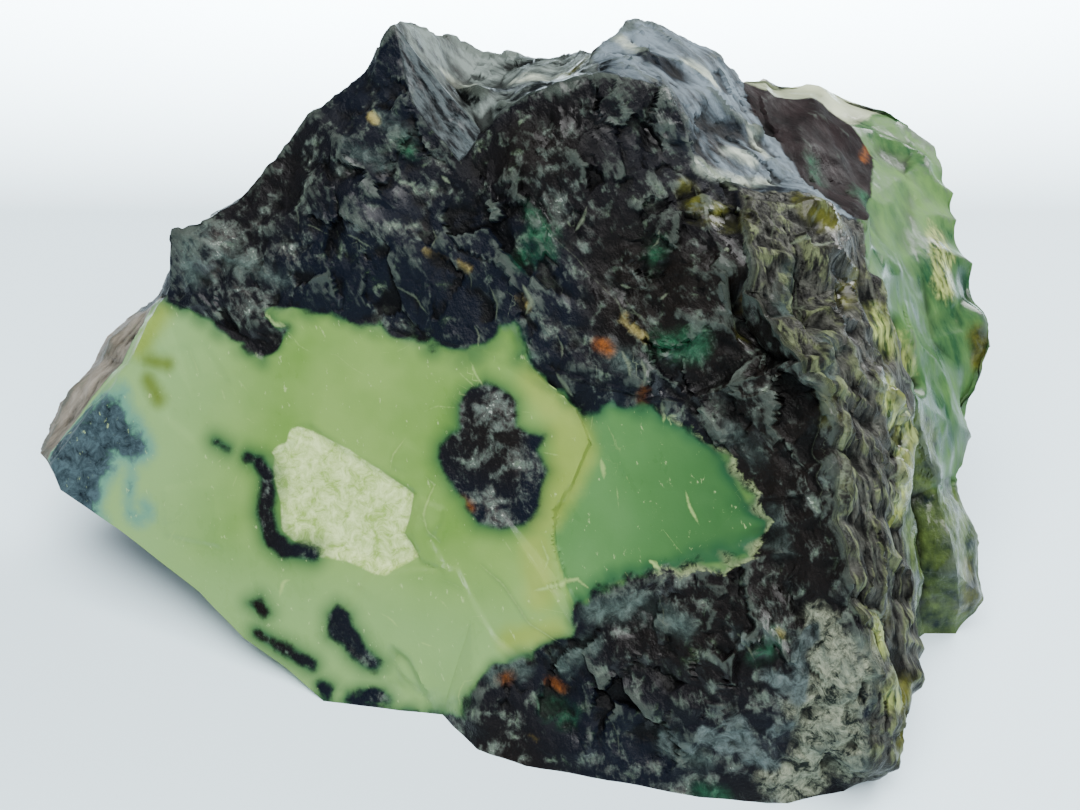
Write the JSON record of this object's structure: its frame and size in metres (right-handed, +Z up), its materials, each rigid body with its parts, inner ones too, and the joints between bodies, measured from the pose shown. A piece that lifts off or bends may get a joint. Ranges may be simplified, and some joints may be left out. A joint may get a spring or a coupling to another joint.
{
  "type": "raw stone",
  "caption": "Raw broken lump of green and black serpentine with one broad flat broken face, lying on a flat underside.",
  "frame": {"origin": "centre of the bounding box on the resting plane", "axes": "+Z up; +X along the longest extent, to the right when the broad broken face is seen; -Y towards the broad broken face"},
  "size_m": [0.1113, 0.0766, 0.0614],
  "materials": {
    "serpentine": "broken serpentine: waxy pale to mid green on the flat front face, near-black and granular round it, glossy green on the right side"
  },
  "bodies": {
    "root": {"stone": "serpentine"}
  },
  "joints": []
}
